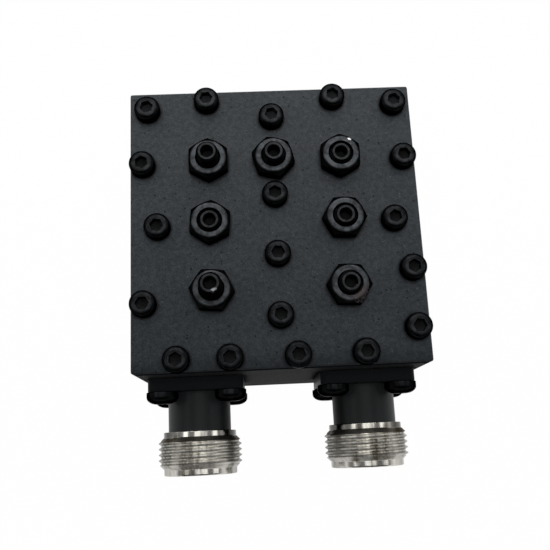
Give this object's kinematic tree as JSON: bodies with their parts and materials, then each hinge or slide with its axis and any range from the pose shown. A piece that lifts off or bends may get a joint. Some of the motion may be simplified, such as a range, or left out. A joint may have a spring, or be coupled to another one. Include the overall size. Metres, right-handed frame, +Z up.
{
  "type": "rf bandpass filter",
  "caption": "Compact cavity bandpass filter: milled box under a screwed lid with tuning screws and lock nuts, and two square-flange threaded coaxial jacks on one side.",
  "frame": {"origin": "centre of the box's underside", "axes": "+Z up through the lid, -Y out of the jacks, +X to the right jack seen from the front"},
  "size_m": [0.0528, 0.0705, 0.0431],
  "materials": {
    "housing_metal": "satin dark coating on milled aluminium",
    "lid_paint": "satin charcoal paint on aluminium",
    "dark_steel": "black oxide, slightly oily",
    "nut_steel": "black oxide, worn at the edges",
    "silver_plate": "silver plate on brass",
    "nickel_plate": "nickel plate on brass, flange and neck painted black",
    "white_plastic": "smooth white fluoropolymer",
    "gold_plate": "gold plate"
  },
  "bodies": {
    "box": {"housing": "housing_metal", "lid": "lid_paint", "lid_screws": "dark_steel", "resonator_1": "silver_plate", "resonator_2": "silver_plate", "resonator_3": "silver_plate", "resonator_4": "silver_plate", "resonator_5": "silver_plate", "resonator_6": "silver_plate", "resonator_7": "silver_plate", "jack_shell_left": "nickel_plate", "jack_insulator_left": "white_plastic", "jack_contact_left": "gold_plate", "tap_lug_left": "silver_plate", "flange_screws_left": "dark_steel", "jack_shell_right": "nickel_plate", "jack_insulator_right": "white_plastic", "jack_contact_right": "gold_plate", "tap_lug_right": "silver_plate", "flange_screws_right": "dark_steel"},
    "screw_1": {"tuning_screw_1": "dark_steel"},
    "nut_1": {"lock_nut_1": "nut_steel"},
    "screw_2": {"tuning_screw_2": "dark_steel"},
    "nut_2": {"lock_nut_2": "nut_steel"},
    "screw_3": {"tuning_screw_3": "dark_steel"},
    "nut_3": {"lock_nut_3": "nut_steel"},
    "screw_4": {"tuning_screw_4": "dark_steel"},
    "nut_4": {"lock_nut_4": "nut_steel"},
    "screw_5": {"tuning_screw_5": "dark_steel"},
    "nut_5": {"lock_nut_5": "nut_steel"},
    "screw_6": {"tuning_screw_6": "dark_steel"},
    "nut_6": {"lock_nut_6": "nut_steel"},
    "screw_7": {"tuning_screw_7": "dark_steel"},
    "nut_7": {"lock_nut_7": "nut_steel"}
  },
  "joints": [
    {"name": "screw_1_travel", "type": "slide", "parent": "box", "child": "screw_1", "axis": [0, 0, 1], "range_m": [-0.002, 0.002]},
    {"name": "nut_1_turn", "type": "hinge", "parent": "box", "child": "nut_1", "pos_m": [-0.0119, -0.0124, 0.0355], "axis": [0, 0, 1], "range_deg": [0, 90]},
    {"name": "screw_2_travel", "type": "slide", "parent": "box", "child": "screw_2", "axis": [0, 0, 1], "range_m": [-0.002, 0.002]},
    {"name": "nut_2_turn", "type": "hinge", "parent": "box", "child": "nut_2", "pos_m": [-0.0119, 0, 0.0355], "axis": [0, 0, 1], "range_deg": [0, 90]},
    {"name": "screw_3_travel", "type": "slide", "parent": "box", "child": "screw_3", "axis": [0, 0, 1], "range_m": [-0.002, 0.002]},
    {"name": "nut_3_turn", "type": "hinge", "parent": "box", "child": "nut_3", "pos_m": [-0.0119, 0.0119, 0.0355], "axis": [0, 0, 1], "range_deg": [0, 90]},
    {"name": "screw_4_travel", "type": "slide", "parent": "box", "child": "screw_4", "axis": [0, 0, 1], "range_m": [-0.002, 0.002]},
    {"name": "nut_4_turn", "type": "hinge", "parent": "box", "child": "nut_4", "pos_m": [0, 0.0119, 0.0355], "axis": [0, 0, 1], "range_deg": [0, 90]},
    {"name": "screw_5_travel", "type": "slide", "parent": "box", "child": "screw_5", "axis": [0, 0, 1], "range_m": [-0.002, 0.002]},
    {"name": "nut_5_turn", "type": "hinge", "parent": "box", "child": "nut_5", "pos_m": [0.0123, 0.0119, 0.0355], "axis": [0, 0, 1], "range_deg": [0, 90]},
    {"name": "screw_6_travel", "type": "slide", "parent": "box", "child": "screw_6", "axis": [0, 0, 1], "range_m": [-0.002, 0.002]},
    {"name": "nut_6_turn", "type": "hinge", "parent": "box", "child": "nut_6", "pos_m": [0.0123, 0, 0.0355], "axis": [0, 0, 1], "range_deg": [0, 90]},
    {"name": "screw_7_travel", "type": "slide", "parent": "box", "child": "screw_7", "axis": [0, 0, 1], "range_m": [-0.002, 0.002]},
    {"name": "nut_7_turn", "type": "hinge", "parent": "box", "child": "nut_7", "pos_m": [0.0123, -0.0124, 0.0355], "axis": [0, 0, 1], "range_deg": [0, 90]}
  ]
}
